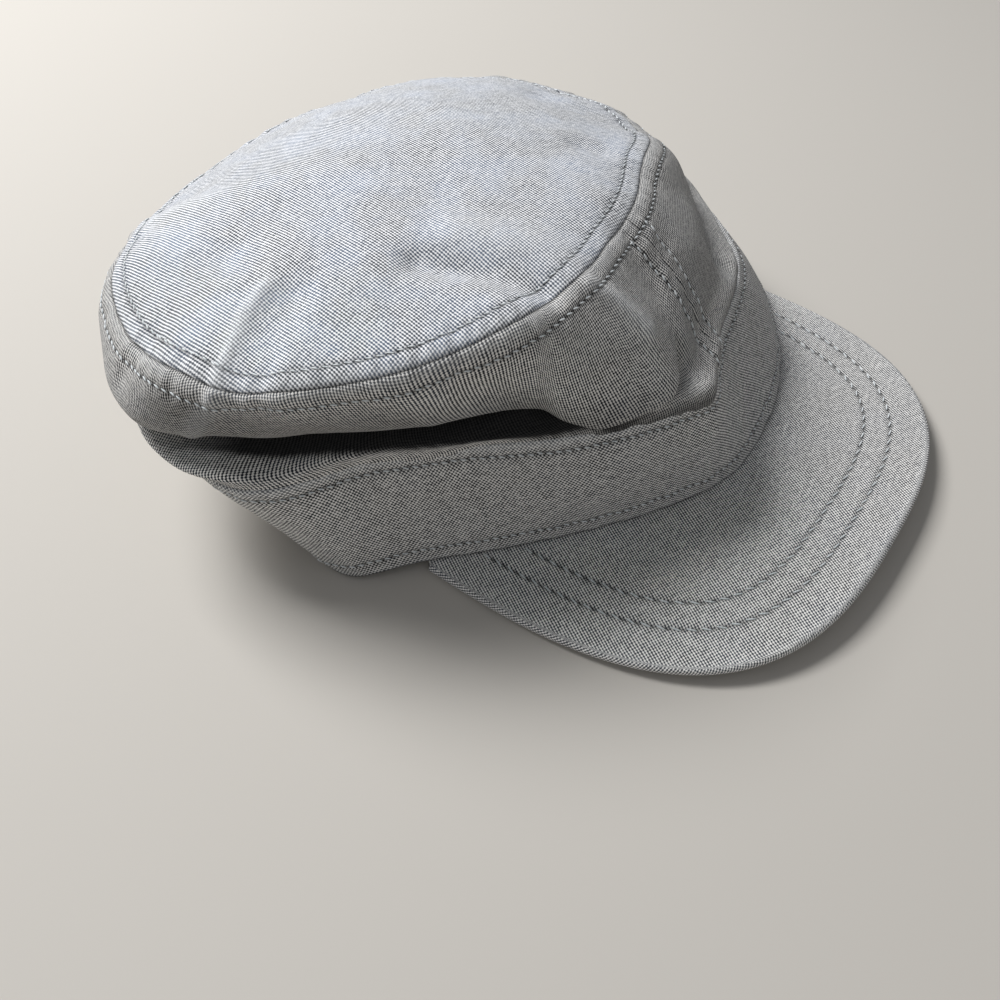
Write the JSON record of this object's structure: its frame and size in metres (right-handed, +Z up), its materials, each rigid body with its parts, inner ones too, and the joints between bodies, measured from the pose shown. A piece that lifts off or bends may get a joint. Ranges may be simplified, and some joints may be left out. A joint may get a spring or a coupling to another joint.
{
  "type": "chambray cap",
  "caption": "Soft cotton cap with a gathered-down crown, a topstitched head band and a stiff curved peak, lying slumped on a surface.",
  "frame": {"origin": "middle of the cap's outline on the surface that it lies on", "axes": "+Z up, the peak points along -Y, the wearer's left is +X"},
  "size_m": [0.2322, 0.2512, 0.0866],
  "materials": {
    "chambray_band": "matt woven cotton",
    "chambray_side": "matt woven cotton",
    "chambray_top": "matt woven cotton",
    "chambray_peak": "matt woven cotton over board"
  },
  "bodies": {
    "root": {"band": "chambray_band", "side_panel_right": "chambray_side", "side_panel_left": "chambray_side", "top_panel": "chambray_top", "peak": "chambray_peak"}
  },
  "joints": []
}
